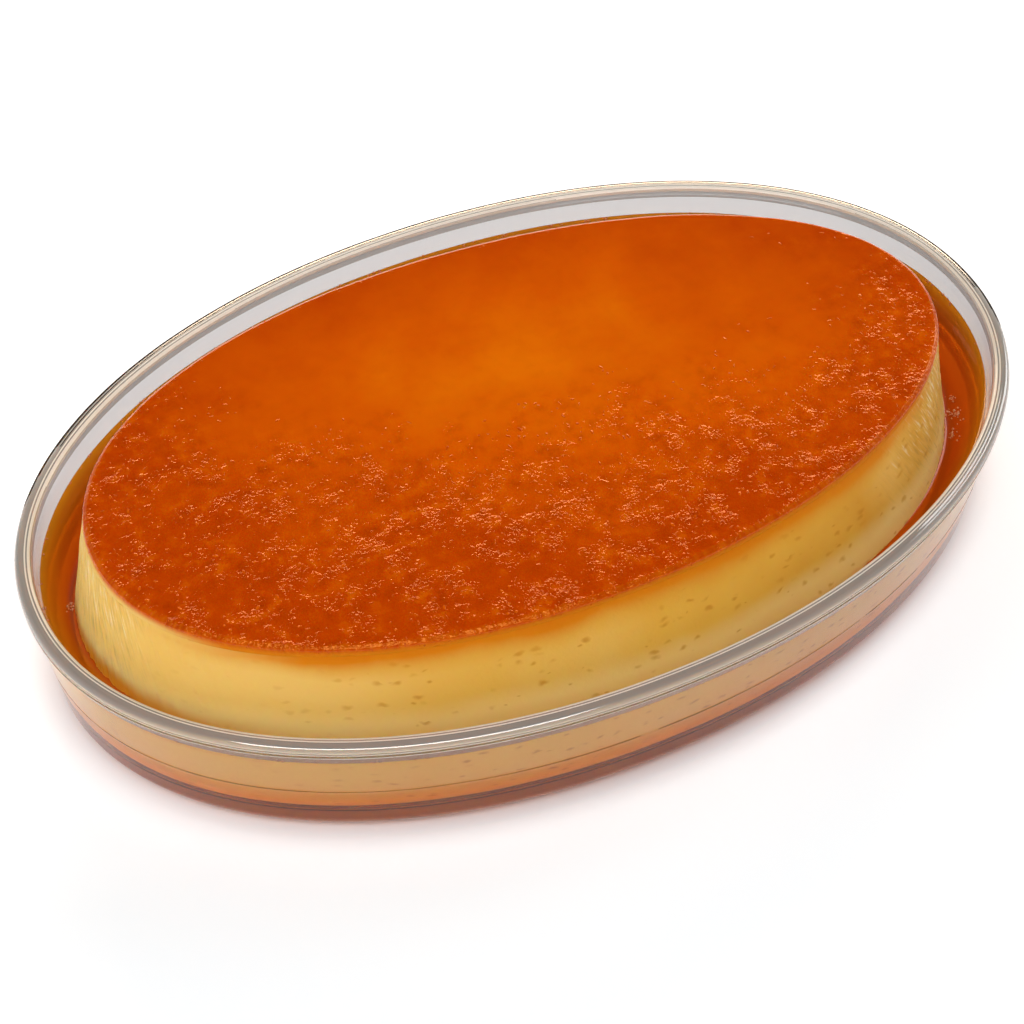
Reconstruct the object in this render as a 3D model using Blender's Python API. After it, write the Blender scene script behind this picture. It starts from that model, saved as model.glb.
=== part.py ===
"""Leche flan turned out into an oval dish of clear glass, with caramel syrup round its foot.

Metres, +Z up, the dish's long side along X. The origin lies under the middle of the dish, on the
surface that it stands on. Every piece is a loft of ovals: the pieces aren't round, so none is turned.
"""

from math import copysign, cos, radians, sin, tau

import bmesh
import bpy
from mathutils import Matrix, Vector

MM = 0.001
SEGMENTS = 96  # points round each oval
GAP = 0.3 * MM  # clearance between touching pieces

# The dish: the oval of its rim, then the section of its wall.
DISH_HALF_LENGTH = 125 * MM
DISH_HALF_WIDTH = 79.6 * MM
DISH_SQUARENESS = 2.06  # exponent of the oval: 2 is an ellipse, more is squarer
DISH_HEIGHT = 37.6 * MM
LIP_WIDTH = 4.0 * MM
LIP_HEIGHT = 3.4 * MM
LIP_ROUNDING = 1.5 * MM
LIP_OVERHANG = 1.1 * MM  # how far the lip stands out over the wall below it
LIP_BLEND = 0.45 * MM  # the small slope between the lip's underside and its face
OUTER_DRAFT = 1.8 * MM  # how far the outer wall leans in from the lip to the foot
INNER_DRAFT = 2.4 * MM  # how far the inner wall leans in on its way down
FLOOR_THICKNESS = 4.5 * MM
FOOT_RADIUS = 7.0 * MM
BOWL_RADIUS = 8.0 * MM  # the round between the inner wall and the floor

# The flan: its top outline, then how its side flares and leans down to the syrup.
FLAN_HALF_LENGTH = 104.3 * MM
FLAN_HALF_WIDTH = 55.4 * MM
FLAN_SQUARENESS = 2.06
FLAN_TOP = 52.8 * MM
FLAN_CENTRE = Vector((-4.8 * MM, -5.0 * MM, 0))
FLAN_YAW = radians(-1.75)
FLAN_FLARE_LENGTH = 4.6 * MM  # how much further the foot reaches than the top, along the flan
FLAN_FLARE_WIDTH = 7.6 * MM  # and across it
FLAN_LEAN = Vector((-0.5 * MM, -4.3 * MM, 0))  # how far the foot lies from under the top
FLAN_EGG_TOP = 0.0128  # share by which the outline swells at its right end and draws in at its left
FLAN_EGG_FOOT = -0.0101
FLAN_EDGE_RADIUS = 2.2 * MM
FLAN_FOOT_RADIUS = 10.0 * MM
SIDE_WAVE = 0.22 * MM  # unevenness of the side
TOP_WAVE = 0.25 * MM  # unevenness of the top

CARAMEL_THICKNESS = 3.0 * MM  # how deep the caramel has soaked in
SYRUP_LEVEL = 29.0 * MM

# Rings by which the flan's top closes in to its middle, as shares of the outline at its edge.
TOP_RINGS = (0.93, 0.84, 0.72, 0.58, 0.42, 0.25, 0.08)


def arc(centre, radius, start, end, steps):
    """Points (across, up) of an arc, from angle start to angle end in degrees."""
    angles = [radians(start + (end - start) * i / steps) for i in range(steps + 1)]
    return [(centre[0] + radius * cos(a), centre[1] + radius * sin(a)) for a in angles]


def oval(half_length, half_width, squareness):
    """Points of a superellipse round the Z axis, each with its own angle."""
    points = []
    for i in range(SEGMENTS):
        angle = tau * i / SEGMENTS
        x = copysign(abs(cos(angle)) ** (2 / squareness), cos(angle))
        y = copysign(abs(sin(angle)) ** (2 / squareness), sin(angle))
        points.append((angle, Vector((half_length * x, half_width * y, 0))))
    return points


def loft(name, rings, collection, material, is_ring=False):
    """A closed body through the rings: flat at both ends or, for a ring-shaped body, joined end to end."""
    mesh = bmesh.new()
    loops = [[mesh.verts.new(point) for point in ring] for ring in rings]
    pairs = list(zip(loops, loops[1:]))
    if is_ring:
        pairs.append((loops[-1], loops[0]))
    else:
        mesh.faces.new(loops[0])
        mesh.faces.new(loops[-1])
    for lower, upper in pairs:
        for i in range(SEGMENTS):
            j = (i + 1) % SEGMENTS
            mesh.faces.new((lower[i], lower[j], upper[j], upper[i]))
    bmesh.ops.recalc_face_normals(mesh, faces=mesh.faces)
    data = bpy.data.meshes.new(name)
    mesh.to_mesh(data)
    mesh.free()
    data.shade_smooth()
    data.set_sharp_from_angle(angle=radians(35))
    data.materials.append(material)
    part = bpy.data.objects.new(name, data)
    collection.objects.link(part)
    return part


def finish(name, colour, roughness, transmission=0.0, ior=1.5):
    """A Principled material of one colour."""
    material = bpy.data.materials.new(name)
    material.use_nodes = True
    shader = material.node_tree.nodes["Principled BSDF"]
    shader.inputs["Base Color"].default_value = (*colour, 1)
    shader.inputs["Roughness"].default_value = roughness
    shader.inputs["Metallic"].default_value = 0
    shader.inputs["Transmission Weight"].default_value = transmission
    shader.inputs["IOR"].default_value = ior
    return material


def dish_ring(inset, height):
    """The dish's oval, drawn in by inset, at a height."""
    outline = oval(DISH_HALF_LENGTH - inset, DISH_HALF_WIDTH - inset, DISH_SQUARENESS)
    return [point + Vector((0, 0, height)) for _, point in outline]


def inner_wall_inset(height):
    """How far inside the rim's outline the dish's inner wall stands at a height."""
    return LIP_WIDTH + INNER_DRAFT * (1 - height / DISH_HEIGHT)


def bowl_section(clearance=0.0):
    """The inner wall from its top to the floor, or a line that stays clear of it by the clearance."""
    floor = FLOOR_THICKNESS + clearance
    wall = inner_wall_inset(FLOOR_THICKNESS + BOWL_RADIUS)
    corner = (wall + BOWL_RADIUS, FLOOR_THICKNESS + BOWL_RADIUS)
    round_part = arc(corner, BOWL_RADIUS - clearance, 180, 270, 6)
    return round_part[:-1] + [(corner[0], floor)]


def make_dish(collection):
    """Pressed clear glass: a flat foot, a nearly upright wall and a rounded lip."""
    wall_top = DISH_HEIGHT - LIP_HEIGHT
    foot = LIP_OVERHANG + OUTER_DRAFT
    corner = (foot + FOOT_RADIUS, FOOT_RADIUS)
    outside = arc(corner, FOOT_RADIUS, 270, 180, 6)
    under_lip = [(LIP_OVERHANG, wall_top - LIP_OVERHANG)]
    lip_side = [(LIP_BLEND, wall_top), (0, wall_top + LIP_BLEND)]
    outer_round = arc((LIP_ROUNDING, DISH_HEIGHT - LIP_ROUNDING), LIP_ROUNDING, 180, 90, 4)
    inner_round = arc((LIP_WIDTH - LIP_ROUNDING, DISH_HEIGHT - LIP_ROUNDING), LIP_ROUNDING, 90, 0, 4)
    section = outside + under_lip + lip_side + outer_round + inner_round + bowl_section()
    glass = finish("clear_glass", (0.86, 0.88, 0.86), 0.04, transmission=1.0, ior=1.5)
    loft("dish", [dish_ring(*place) for place in section], collection, glass)


def flan_ring(inset, height, share=1.0):
    """The flan's outline at a height, drawn in by inset and then scaled to a share of its size."""
    down = min((FLAN_TOP - height) / (FLAN_TOP - SYRUP_LEVEL), 1)
    half_length = FLAN_HALF_LENGTH + FLAN_FLARE_LENGTH * down - inset
    half_width = FLAN_HALF_WIDTH + FLAN_FLARE_WIDTH * down - inset
    egg = FLAN_EGG_TOP + (FLAN_EGG_FOOT - FLAN_EGG_TOP) * down
    turn = Matrix.Rotation(FLAN_YAW, 3, "Z")
    middle = FLAN_CENTRE + FLAN_LEAN * down + Vector((0, 0, height))
    ring = []
    for angle, point in oval(half_length, half_width, FLAN_SQUARENESS):
        wave = SIDE_WAVE * sin(7 * angle + 1.3) * sin(3 * angle + 170 * height)
        swell = 1 + egg * cos(3 * angle) + wave / point.length
        ring.append(middle + turn @ (point * swell * share))
    return ring


def top_relief(point):
    """How far the top stands off its level at a point: long, low waves."""
    x, y = point.x / MM, point.y / MM
    return TOP_WAVE * (sin(x / 19 + 0.7) * cos(y / 14 - 0.4) + 0.6 * sin(x / 8 + y / 11))


def make_custard(collection):
    """The steamed custard, solid all through, below the caramel layer."""
    top = FLAN_TOP - CARAMEL_THICKNESS - GAP
    bottom = FLOOR_THICKNESS + GAP
    foot = arc((FLAN_FOOT_RADIUS, bottom + FLAN_FOOT_RADIUS), FLAN_FOOT_RADIUS, 270, 180, 4)
    side = [(0, SYRUP_LEVEL + (top - SYRUP_LEVEL) * step / 4) for step in range(5)]
    custard = finish("steamed_custard", (0.80, 0.53, 0.16), 0.42)
    loft("custard", [flan_ring(*place) for place in foot + side], collection, custard)


def make_caramel_top(collection):
    """The caramel-soaked layer over the custard, rounded at its edge."""
    centre = (FLAN_EDGE_RADIUS, FLAN_TOP - FLAN_EDGE_RADIUS)
    edge = [(0, FLAN_TOP - CARAMEL_THICKNESS)] + arc(centre, FLAN_EDGE_RADIUS, 180, 90, 5)
    rings = [flan_ring(*place) for place in edge]
    rings += [flan_ring(FLAN_EDGE_RADIUS, FLAN_TOP, share) for share in TOP_RINGS]
    for ring in rings[len(edge):]:
        for point in ring:
            point.z += top_relief(point)
    caramel = finish("soaked_caramel", (0.62, 0.16, 0.01), 0.22)
    loft("caramel_top", rings, collection, caramel)


def make_syrup(collection):
    """The caramel syrup: a ring that fills the dish round the custard's foot."""
    bottom = FLOOR_THICKNESS + GAP
    outer_top = (inner_wall_inset(SYRUP_LEVEL) + GAP, SYRUP_LEVEL)
    outer = [outer_top] + bowl_section(GAP)
    foot_centre = (FLAN_FOOT_RADIUS, bottom + FLAN_FOOT_RADIUS)
    inner = arc(foot_centre, FLAN_FOOT_RADIUS + GAP, 270, 180, 4)
    inner[0] = (inner[0][0], bottom)
    inner.append((-GAP, SYRUP_LEVEL))
    rings = [dish_ring(*place) for place in outer] + [flan_ring(*place) for place in inner]
    syrup = finish("caramel_syrup", (0.45, 0.12, 0.01), 0.06, transmission=0.5, ior=1.46)
    loft("syrup", rings, collection, syrup, is_ring=True)


def main():
    for old in list(bpy.data.objects):
        bpy.data.objects.remove(old, do_unlink=True)
    flan = bpy.data.collections.new("leche_flan")
    bpy.context.scene.collection.children.link(flan)
    make_dish(flan)
    make_custard(flan)
    make_caramel_top(flan)
    make_syrup(flan)


main()
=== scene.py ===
"""Leche flan in its oval glass dish: the visual model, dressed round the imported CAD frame.

Metres, +Z up, in the frame's own place. A pool of caramel syrup lies round a steamed custard whose top
is soaked with caramel, all in a dish of pressed clear glass.
"""

from math import cos, pi, radians, sin, tau

import bmesh
import bpy
import numpy as np
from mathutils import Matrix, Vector


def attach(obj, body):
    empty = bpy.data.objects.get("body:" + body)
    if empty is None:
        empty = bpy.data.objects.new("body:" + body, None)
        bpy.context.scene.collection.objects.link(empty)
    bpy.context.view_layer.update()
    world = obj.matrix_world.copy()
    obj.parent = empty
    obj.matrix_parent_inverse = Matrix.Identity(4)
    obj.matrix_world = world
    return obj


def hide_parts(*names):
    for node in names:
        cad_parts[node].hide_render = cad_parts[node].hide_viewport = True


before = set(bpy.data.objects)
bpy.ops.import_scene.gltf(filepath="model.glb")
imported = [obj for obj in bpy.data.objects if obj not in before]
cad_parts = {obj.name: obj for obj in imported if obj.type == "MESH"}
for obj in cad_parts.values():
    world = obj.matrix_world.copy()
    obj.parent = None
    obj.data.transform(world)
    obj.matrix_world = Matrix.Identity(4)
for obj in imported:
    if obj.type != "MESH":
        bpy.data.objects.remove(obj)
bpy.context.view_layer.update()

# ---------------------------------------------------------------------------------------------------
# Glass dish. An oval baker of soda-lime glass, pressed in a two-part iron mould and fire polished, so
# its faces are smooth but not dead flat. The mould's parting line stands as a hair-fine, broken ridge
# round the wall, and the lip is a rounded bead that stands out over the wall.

MM = 0.001

DISH_HALF_LENGTH = 125 * MM
DISH_HALF_WIDTH = 79.6 * MM
DISH_SQUARENESS = 2.06
DISH_HEIGHT = 37.6 * MM
DISH_SEGMENTS = 360
LIP_WIDTH = 4.0 * MM
LIP_HEIGHT = 3.4 * MM
LIP_ROUNDING = 1.5 * MM
LIP_INNER_ROUNDING = 1.1 * MM
LIP_LOWER_ROUNDING = 0.9 * MM
LIP_OVERHANG = 1.1 * MM
MOULD_GROOVE = 0.13 * MM  # depth of the fine ring that the mould leaves in the lip's face
CROWN_RISE = 0.1 * MM  # how far the middle of the lip's crown stands up
GROOVE_STEPS = 8
OUTER_DRAFT = 1.8 * MM
INNER_DRAFT = 2.4 * MM
FLOOR_THICKNESS = 4.5 * MM
FOOT_RADIUS = 7.0 * MM
BOWL_RADIUS = 8.0 * MM
SEAM_HEIGHT = 18.4 * MM
SEAM_HALF_WIDTH = 0.17 * MM
WETTED_HEIGHT = 29.4 * MM  # up to which the syrup wets the inside
LIP_INNER_EDGE = DISH_HEIGHT - LIP_INNER_ROUNDING  # where the lip's round meets the inner wall
BASE_HOLLOW = 0.5 * MM  # how far the underside stands off the table inside its foot ring
INNER_RINGS = (0.0, 0.25, 0.5, 0.75, 0.92)  # by which foot and floor close in to their middles
FOOT_RING = 0.97  # the ring that the dish stands on, as a share of its underside


def linear(code):
    """The linear RGBA of an sRGB hex colour."""
    parts = [int(code[i:i + 2], 16) / 255 for i in (0, 2, 4)]
    return (*(c / 12.92 if c <= 0.04045 else ((c + 0.055) / 1.055) ** 2.4 for c in parts), 1)


def feed(tree, made, inputs):
    """Gives a node's sockets, by name or number, their values or what feeds them."""
    for key, value in inputs.items():
        if isinstance(value, bpy.types.Node):
            value = value.outputs[0]
        if isinstance(value, bpy.types.NodeSocket):
            tree.links.new(value, made.inputs[key])
        else:
            made.inputs[key].default_value = value


def node(tree, kind, inputs=None, **settings):
    """Adds a node with its settings and feeds its inputs."""
    made = tree.nodes.new(kind)
    for key, value in settings.items():
        setattr(made, key, value)
    feed(tree, made, inputs or {})
    return made


def new_material(name, looks=None):
    """A material, its tree and its Principled shader, with the looks that are the same all over."""
    material = bpy.data.materials.new(name)
    material.use_nodes = True
    tree = material.node_tree
    tree.nodes.clear()
    shader = node(tree, "ShaderNodeBsdfPrincipled", looks)
    node(tree, "ShaderNodeOutputMaterial", {"Surface": shader})
    return material, tree, shader


def colour_stops(ramp, stops):
    """Gives a colour ramp its sRGB hex colours, each at a position from 0 to 1."""
    (first, start), *middle, (last, end) = stops.items()
    elements = ramp.color_ramp.elements
    elements[0].position, elements[1].position = first, last
    elements[0].color, elements[1].color = linear(start), linear(end)
    for position, colour in middle:
        elements.new(position).color = linear(colour)


def new_tree(name, sizes):
    """A geometry tree with a geometry in and out and one named float or integer input per size."""
    tree = bpy.data.node_groups.new(name, "GeometryNodeTree")
    tree.interface.new_socket("Geometry", in_out="INPUT", socket_type="NodeSocketGeometry")
    for key, value in sizes.items():
        kind = "NodeSocketInt" if isinstance(value, int) else "NodeSocketFloat"
        tree.interface.new_socket(key, in_out="INPUT", socket_type=kind)
    tree.interface.new_socket("Geometry", in_out="OUTPUT", socket_type="NodeSocketGeometry")
    return tree, node(tree, "NodeGroupInput").outputs


def end_tree(tree, geometry, material, others=()):
    """Ends a geometry tree: instances become real, all of it gets a material, and where others names a
    material and a selection, those faces get that one."""
    made = node(tree, "GeometryNodeRealizeInstances", {0: geometry})
    for coat, chosen in ((material, True), *others):
        made = node(tree, "GeometryNodeSetMaterial", {"Geometry": made, "Selection": chosen,
                    "Material": coat})
    node(tree, "NodeGroupOutput", {0: made})
    return tree


def swell(tree, path, scale, detail, amount):
    """Noise read along a path, which sways by half an amount to either side of 0."""
    noise = node(tree, "ShaderNodeTexNoise", {"Vector": path, "Scale": scale, "Detail": detail})
    centred = node(tree, "ShaderNodeMath", {0: noise, 1: 0.5}, operation="SUBTRACT")
    return node(tree, "ShaderNodeMath", {0: centred, 1: amount}, operation="MULTIPLY")


def raised(tree, geometry, rise, ways=(1.0, 1.0, 1.0)):
    """A surface moved along its normals by a rise, as far as ways lets it, and shaded smooth."""
    normal = node(tree, "GeometryNodeInputNormal")
    push = node(tree, "ShaderNodeVectorMath", {0: normal, "Scale": rise}, operation="SCALE")
    let = node(tree, "ShaderNodeVectorMath", {0: push, 1: ways}, operation="MULTIPLY")
    moved = node(tree, "GeometryNodeSetPosition", {"Geometry": geometry, "Offset": let})
    return node(tree, "GeometryNodeSetShadeSmooth", {0: moved})


def grow(piece, tree, sizes):
    """Runs a geometry tree on a piece and keeps its result as the piece's plain mesh."""
    modifier = piece.modifiers.new(tree.name, "NODES")
    modifier.node_group = tree
    for item in tree.interface.items_tree:
        if item.in_out == "INPUT" and item.name in sizes:
            modifier[item.identifier] = sizes[item.name]
    bpy.context.view_layer.update()
    seen = piece.evaluated_get(bpy.context.evaluated_depsgraph_get())
    mesh = bpy.data.meshes.new_from_object(seen, preserve_all_data_layers=True,
                                           depsgraph=bpy.context.evaluated_depsgraph_get())
    piece.modifiers.clear()
    old, piece.data = piece.data, mesh
    mesh.name = piece.name
    bpy.data.meshes.remove(old)


def put(name, data):
    """An object of a mesh, a lamp or a lens, linked to the scene."""
    made = bpy.data.objects.new(name, data)
    bpy.context.scene.collection.objects.link(made)
    return made


def new_piece(name, points, faces=()):
    """An object of a mesh made of points and faces."""
    mesh = bpy.data.meshes.new(name)
    mesh.from_pydata([tuple(p) for p in points], [], [tuple(f) for f in faces])
    return put(name, mesh)


def arc(centre, radius, start, end, steps):
    """Points (across, up) of an arc, from angle start to angle end in degrees."""
    angles = [radians(start + (end - start) * i / steps) for i in range(steps + 1)]
    return [(centre[0] + radius * cos(a), centre[1] + radius * sin(a)) for a in angles]


def inner_inset(height):
    """How far inside the rim's outline the dish's inner wall stands at a height."""
    return LIP_WIDTH + INNER_DRAFT * (1 - height / DISH_HEIGHT)


def between(a, b, steps):
    """Points from a to b, without b."""
    return [tuple(p + (q - p) * i / steps for p, q in zip(a, b)) for i in range(steps)]


def groove(start, end, depth):
    """A shallow groove between two points of the section, sunk square to the line that joins them. A
    negative depth raises a ridge instead."""
    (x0, y0), (x1, y1) = start, end
    length = np.hypot(x1 - x0, y1 - y0)
    across = ((y1 - y0) / length, -(x1 - x0) / length)
    places = [(i / GROOVE_STEPS, 0.5 - 0.5 * cos(tau * i / GROOVE_STEPS)) for i in range(GROOVE_STEPS + 1)]
    return [(x0 + (x1 - x0) * t + across[0] * depth * low, y0 + (y1 - y0) * t + across[1] * depth * low)
            for t, low in places]


def dish_section():
    """The dish's section as (inset, share, height), from the middle of its foot, round its lip, to
    the middle of its floor. A point lies at the oval's outline, drawn in by inset, times its share."""
    foot = LIP_OVERHANG + OUTER_DRAFT
    wall_top = DISH_HEIGHT - LIP_HEIGHT
    outside = arc((foot + FOOT_RADIUS, FOOT_RADIUS), FOOT_RADIUS, 270, 180, 16)
    neck = (LIP_OVERHANG, wall_top - LIP_OVERHANG)
    seam_inset = foot - OUTER_DRAFT * (SEAM_HEIGHT - FOOT_RADIUS) / (neck[1] - FOOT_RADIUS)
    seam_low = (seam_inset, SEAM_HEIGHT - SEAM_HALF_WIDTH)
    seam_high = (seam_inset, SEAM_HEIGHT + SEAM_HALF_WIDTH)
    wall = between(outside[-1], seam_low, 12) + between(seam_low, seam_high, 6)
    wall += between(seam_high, neck, 16)
    low_centre = (LIP_LOWER_ROUNDING, wall_top + LIP_LOWER_ROUNDING)
    under_lip = [neck, (0.93 * LIP_OVERHANG, neck[1] + 0.4 * LIP_OVERHANG)]  # a small slope outwards
    low_round = arc(low_centre, LIP_LOWER_ROUNDING, 250, 180, 8)
    high_centre = (LIP_ROUNDING, DISH_HEIGHT - LIP_ROUNDING)
    outer_round = arc(high_centre, LIP_ROUNDING, 180, 90, 12)
    face = groove(low_round[-1], outer_round[0], MOULD_GROOVE)
    inner_centre = (LIP_WIDTH - LIP_INNER_ROUNDING, LIP_INNER_EDGE)
    inner_round = arc(inner_centre, LIP_INNER_ROUNDING, 90, 0, 10)
    crown = groove(outer_round[-1], inner_round[0], -CROWN_RISE)
    bowl_top = (inner_inset(FLOOR_THICKNESS + BOWL_RADIUS), FLOOR_THICKNESS + BOWL_RADIUS)
    wet_line = (inner_inset(WETTED_HEIGHT), WETTED_HEIGHT)
    inside = between(inner_round[-1], wet_line, 6) + between(wet_line, bowl_top, 14)
    bowl = arc((bowl_top[0] + BOWL_RADIUS, bowl_top[1]), BOWL_RADIUS, 180, 270, 16)
    line = outside[:-1] + wall + under_lip + low_round + face[1:-1] + outer_round + crown[1:-1]
    line += inner_round[:-1] + inside + bowl
    under = [(outside[0][0], share, BASE_HOLLOW) for share in INNER_RINGS]
    under.append((outside[0][0], FOOT_RING, 0.0))
    floor = [(bowl[-1][0], share, FLOOR_THICKNESS) for share in reversed(INNER_RINGS)]
    return under + [(inset, 1.0, height) for inset, height in line] + floor


LEVEL = (1.0, 1.0, 0.0)  # takes the rise out of a direction
WELD = 0.002 * MM
POLISH_LYING = (1.0, 1.0, 3.0)  # the polish waves lie: they are three times as long as they are tall
POLISH_HELD, POLISH_FREE = 4 * MM, 12 * MM  # the waves set in between these heights
WEAR_PER_METRE = 160.0  # how often the worn parting line comes and goes
FAR_ABOVE = (0.0, 0.0, 1.0)  # a point that all the inner faces look up to
CROWN_LEAN = 0.155  # a face of the lip that leans in or out less than this is part of its crown
INNER_ROUND_LEAN = 0.72  # and one that leans in more than this is part of the inner wall
# The outer edge gets dark glass, a painted dark line, where it faces this way.
DARK_WAY, DARK_FROM = (0.44, 0.9, 0.0), 0.07  # the outer edge looks dark where it faces this way


def oval_loft_tree(sizes):
    """Sweeps a section, whose vertices hold (inset, share, height), round a superellipse."""
    tree, given = new_tree("oval_loft", sizes)
    here = node(tree, "GeometryNodeInputPosition")
    normal = node(tree, "GeometryNodeInputNormal")
    count = node(tree, "GeometryNodeAttributeDomainSize", {0: given["Geometry"]})
    last = node(tree, "ShaderNodeMath", {0: count.outputs["Point Count"], 1: 1.0}, operation="SUBTRACT")
    columns = node(tree, "ShaderNodeMath", {0: given["Segments"], 1: 1.0})
    grid = node(tree, "GeometryNodeMeshGrid", {"Size X": last, "Size Y": tau,
                "Vertices X": count.outputs["Point Count"], "Vertices Y": columns})
    place = node(tree, "ShaderNodeSeparateXYZ", {0: here}).outputs
    half = node(tree, "ShaderNodeMath", {0: last, 1: 0.5}, operation="MULTIPLY")
    row = node(tree, "ShaderNodeMath", {0: place["X"], 1: half})
    ring = node(tree, "FunctionNodeFloatToInt", {0: row}, rounding_mode="ROUND")
    section = node(tree, "GeometryNodeSampleIndex", {"Geometry": given["Geometry"], "Value": here,
                   "Index": ring}, data_type="FLOAT_VECTOR", domain="POINT")
    point = node(tree, "ShaderNodeSeparateXYZ", {0: section}).outputs
    power = node(tree, "ShaderNodeMath", {0: 2.0, 1: given["Squareness"]}, operation="DIVIDE")
    sides = []
    for wave, half_size in (("COSINE", "Half Length"), ("SINE", "Half Width")):
        turn = node(tree, "ShaderNodeMath", {0: place["Y"]}, operation=wave)
        size = node(tree, "ShaderNodeMath", {0: turn}, operation="ABSOLUTE")
        bent = node(tree, "ShaderNodeMath", {0: size, 1: power}, operation="POWER")
        sign = node(tree, "ShaderNodeMath", {0: turn}, operation="SIGN")
        unit = node(tree, "ShaderNodeMath", {0: bent, 1: sign}, operation="MULTIPLY")
        reach = node(tree, "ShaderNodeMath", {0: given[half_size], 1: point["X"]}, operation="SUBTRACT")
        scaled = node(tree, "ShaderNodeMath", {0: reach, 1: point["Y"]}, operation="MULTIPLY")
        sides.append(node(tree, "ShaderNodeMath", {0: unit, 1: scaled}, operation="MULTIPLY"))
    spot = node(tree, "ShaderNodeCombineXYZ", {0: sides[0], 1: sides[1], 2: point["Z"]})
    lofted = node(tree, "GeometryNodeSetPosition", {"Geometry": grid, "Position": spot})
    closed = node(tree, "GeometryNodeMergeByDistance", {"Geometry": lofted, "Distance": WELD})
    outward = node(tree, "GeometryNodeFlipFaces", {0: closed})
    # Fire polish leaves the faces a few hundredths of a millimetre out of true, in lying streaks.
    height = place["Z"]
    lying = node(tree, "ShaderNodeVectorMath", {0: here, 1: POLISH_LYING}, operation="MULTIPLY")
    per_wave = node(tree, "ShaderNodeMath", {0: 1.0, 1: given["Polish Length"]}, operation="DIVIDE")
    off_foot = node(tree, "ShaderNodeMapRange", {"Value": height, 1: POLISH_HELD, 2: POLISH_FREE})
    swayed = node(tree, "ShaderNodeMath", {0: swell(tree, lying, per_wave, 1.0, off_foot),
                  1: given["Polish Wave"]}, operation="MULTIPLY")
    # The inner faces are those that face a point far above the dish.
    down = node(tree, "ShaderNodeVectorMath", {0: here, 1: FAR_ABOVE}, operation="SUBTRACT")
    facing = node(tree, "ShaderNodeVectorMath", {0: normal, 1: down}, operation="DOT_PRODUCT")
    outside = node(tree, "ShaderNodeMath", {0: facing.outputs["Value"], 1: 0.0}, operation="GREATER_THAN")
    # The parting line stands proud where the mould's halves were worn, and is gone in between.
    off_line = node(tree, "ShaderNodeMath", {0: height, 1: SEAM_HEIGHT}, operation="SUBTRACT")
    aside = node(tree, "ShaderNodeMath", {0: off_line}, operation="ABSOLUTE")
    proud = node(tree, "ShaderNodeMapRange", {"Value": aside, 1: SEAM_HALF_WIDTH, 2: 0.0})
    worn = node(tree, "ShaderNodeTexNoise", {"Vector": here, "Scale": WEAR_PER_METRE, "Detail": 2.0})
    broken = node(tree, "ShaderNodeMapRange", {"Value": worn, 1: 0.3, 2: 0.5})
    for share in (broken, outside, given["Seam Proud"]):
        proud = node(tree, "ShaderNodeMath", {0: proud, 1: share}, operation="MULTIPLY")
    shaped = raised(tree, outward, node(tree, "ShaderNodeMath", {0: swayed, 1: proud}))
    # A face's lean, from -1 inwards to 1 outwards, and how far it faces the dark way.
    level = node(tree, "ShaderNodeVectorMath", {0: here, 1: LEVEL}, operation="MULTIPLY")
    away = node(tree, "ShaderNodeVectorMath", {0: level}, operation="NORMALIZE")
    lean, backward = [
        node(tree, "ShaderNodeVectorMath", {0: normal, 1: way}, operation="DOT_PRODUCT").outputs["Value"]
        for way in (away, DARK_WAY)]
    # Each place's glass, and the tests that its faces pass.
    over, under = "GREATER_THAN", "LESS_THAN"
    in_lip = (height, over, LIP_INNER_EDGE)
    outer, inner = (outside, over, 0.5), (outside, under, 0.5)
    places = []
    for glass, tests in (
            (foot_glass, [outer, (height, under, SEAM_HEIGHT)]),
            (painted_shade_glass, [inner, (height, under, LIP_INNER_EDGE)]),
            (wetted_glass, [inner, (height, under, WETTED_HEIGHT)]),
            (lip_glass, [in_lip]),
            (lip_glass, [outer, (height, over, DISH_HEIGHT - LIP_HEIGHT - LIP_OVERHANG)]),
            # The inner round gets a painted highlight, and the outer round at the back a painted dark line.
            (painted_highlight_glass, [in_lip, (lean, under, -CROWN_LEAN), (lean, over, -INNER_ROUND_LEAN)]),
            (painted_dark_line_glass, [in_lip, (lean, over, CROWN_LEAN), (backward, over, DARK_FROM)])):
        chosen = True
        for value, relation, limit in tests:
            passed = node(tree, "FunctionNodeCompare", {0: value, 1: limit}, operation=relation)
            chosen = node(tree, "FunctionNodeBooleanMath", {0: chosen, 1: passed}, operation="AND")
        places.append((glass, chosen))
    return end_tree(tree, shaped, pressed_glass, places)


GLASS_IOR = 1.52
CLEAR = {"Roughness": 0.0, "Transmission Weight": 1.0}  # what smooth, clear glass and syrup share
# The amber is painted light: it stands in for the syrup's colour seen through the wall.
AMBER_FULL, AMBER_GONE = 9 * MM, 20 * MM  # the wall is amber below the first and clear above the second


def pressed(name, glint, ior):
    """Glass with amber painted into it towards its foot, a painted stand-in for the syrup's light seen
    through the wall, and glints of a colour.
    """
    material, tree, look = new_material(name, {**CLEAR, "IOR": ior, "Specular Tint": linear(glint)})
    where = node(tree, "ShaderNodeTexCoord").outputs["Object"]
    rise = node(tree, "ShaderNodeMapRange", {1: AMBER_FULL, 2: AMBER_GONE,
                "Value": node(tree, "ShaderNodeSeparateXYZ", {0: where}).outputs["Z"]})
    painted_amber = node(tree, "ShaderNodeValToRGB", {0: rise})
    colour_stops(painted_amber, {0.0: "F49E28", 0.5: "F4C05C", 1.0: "FDFDFB"})
    feed(tree, look, {"Base Color": painted_amber})
    return material


# Pressed soda-lime glass, fire polished: clear with sharp glints, and painted amber low on its wall.
pressed_glass = pressed("pressed_soda_lime_glass", "FFFDF8", GLASS_IOR)

# The same glass below the parting line, with the amber of the syrup behind it painted into its colour and
# into its glints, which look warm: painted light.
foot_glass = pressed("pressed_glass_foot", "B87820", 1.5)

# The same glass where syrup lies against it: syrup bends light nearly as much as glass does, so that
# the inner face all but vanishes and the custard shows through clearly.
wetted_glass, *_ = new_material("glass_wetted_by_syrup", {
    **CLEAR, "Base Color": linear("FFFFFC"), "IOR": 1.055})
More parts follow.
